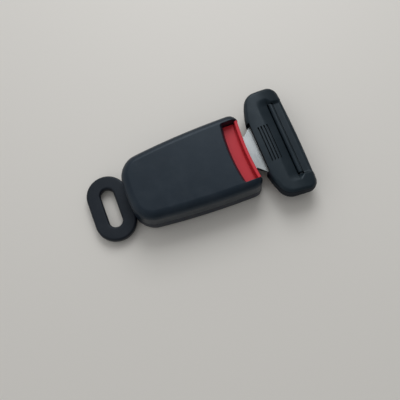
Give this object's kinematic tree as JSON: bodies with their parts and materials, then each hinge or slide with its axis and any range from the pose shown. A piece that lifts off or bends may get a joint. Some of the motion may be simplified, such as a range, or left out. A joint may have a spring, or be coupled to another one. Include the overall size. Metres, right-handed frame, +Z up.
{
  "type": "seat belt buckle and tongue",
  "caption": "Short end-release seat belt buckle with its tongue pushed home and a coated anchor eye; black housing, red button, steel blade.",
  "frame": {"origin": "on the floor below the middle of the whole set's length and width", "axes": "+X from the anchor eye towards the tongue's head, +Y across, +Z up out of the top cover"},
  "size_m": [0.1321, 0.07, 0.022],
  "materials": {
    "black_shell": "fine satin grain",
    "black_head": "satin, slightly smoother than the shells",
    "eye_coat": "dull soft coat",
    "red_button": "satin red",
    "blade_steel": "ground and lightly brushed",
    "frame_steel": "zinc plated",
    "spring_steel": "drawn wire",
    "grey_plastic": "natural moulded",
    "guide_plastic": "moulded"
  },
  "bodies": {
    "housing": {"upper_cover": "black_shell", "lower_cover": "black_shell", "anchor_plate": "frame_steel", "eye_coating": "eye_coat", "anchor_rivets": "frame_steel", "frame_channel": "frame_steel", "mouth_guide": "guide_plastic", "guide_rivets": "frame_steel", "latch_pin": "frame_steel", "spring_block": "grey_plastic", "button_spring_left": "spring_steel", "button_spring_right": "spring_steel", "latch_spring": "spring_steel", "lock_springs": "spring_steel", "ejector_spring": "spring_steel"},
    "tongue": {"tongue_plate": "blade_steel", "tongue_cover": "black_head", "webbing_bar": "black_head"},
    "button": {"press_button": "red_button"},
    "latch": {"latch_lever": "frame_steel"},
    "lock": {"lock_slide": "grey_plastic"},
    "ejector": {"ejector": "grey_plastic"}
  },
  "joints": [
    {"name": "tongue_slide", "type": "slide", "parent": "housing", "child": "tongue", "axis": [1, 0, 0], "range_m": [0, 0.045]},
    {"name": "button_press", "type": "slide", "parent": "housing", "child": "button", "axis": [-1, 0, 0], "range_m": [0, 0.0045], "stiffness_N_per_m": 300, "springref_m": -0.002, "deforming": ["button_spring_left", "button_spring_right"]},
    {"name": "latch_pivot", "type": "hinge", "parent": "housing", "child": "latch", "pos_m": [-0.01418, 0, 0.0132], "axis": [0, 1, 0], "range_deg": [0, 9.5], "stiffness_Nm_per_rad": 0.06, "springref_deg": -17.19, "deforming": ["latch_spring"]},
    {"name": "lock_travel", "type": "slide", "parent": "housing", "child": "lock", "axis": [1, 0, 0], "range_m": [0, 0.004], "deforming": ["lock_springs"]},
    {"name": "ejector_travel", "type": "slide", "parent": "housing", "child": "ejector", "axis": [1, 0, 0], "range_m": [0, 0.009], "deforming": ["ejector_spring"]}
  ],
  "couplings": [
    {"joint": "ejector_travel", "follows": "tongue_slide", "ratio": 0.2},
    {"joint": "lock_travel", "follows": "latch_pivot", "m_per_rad": 0.024124}
  ]
}
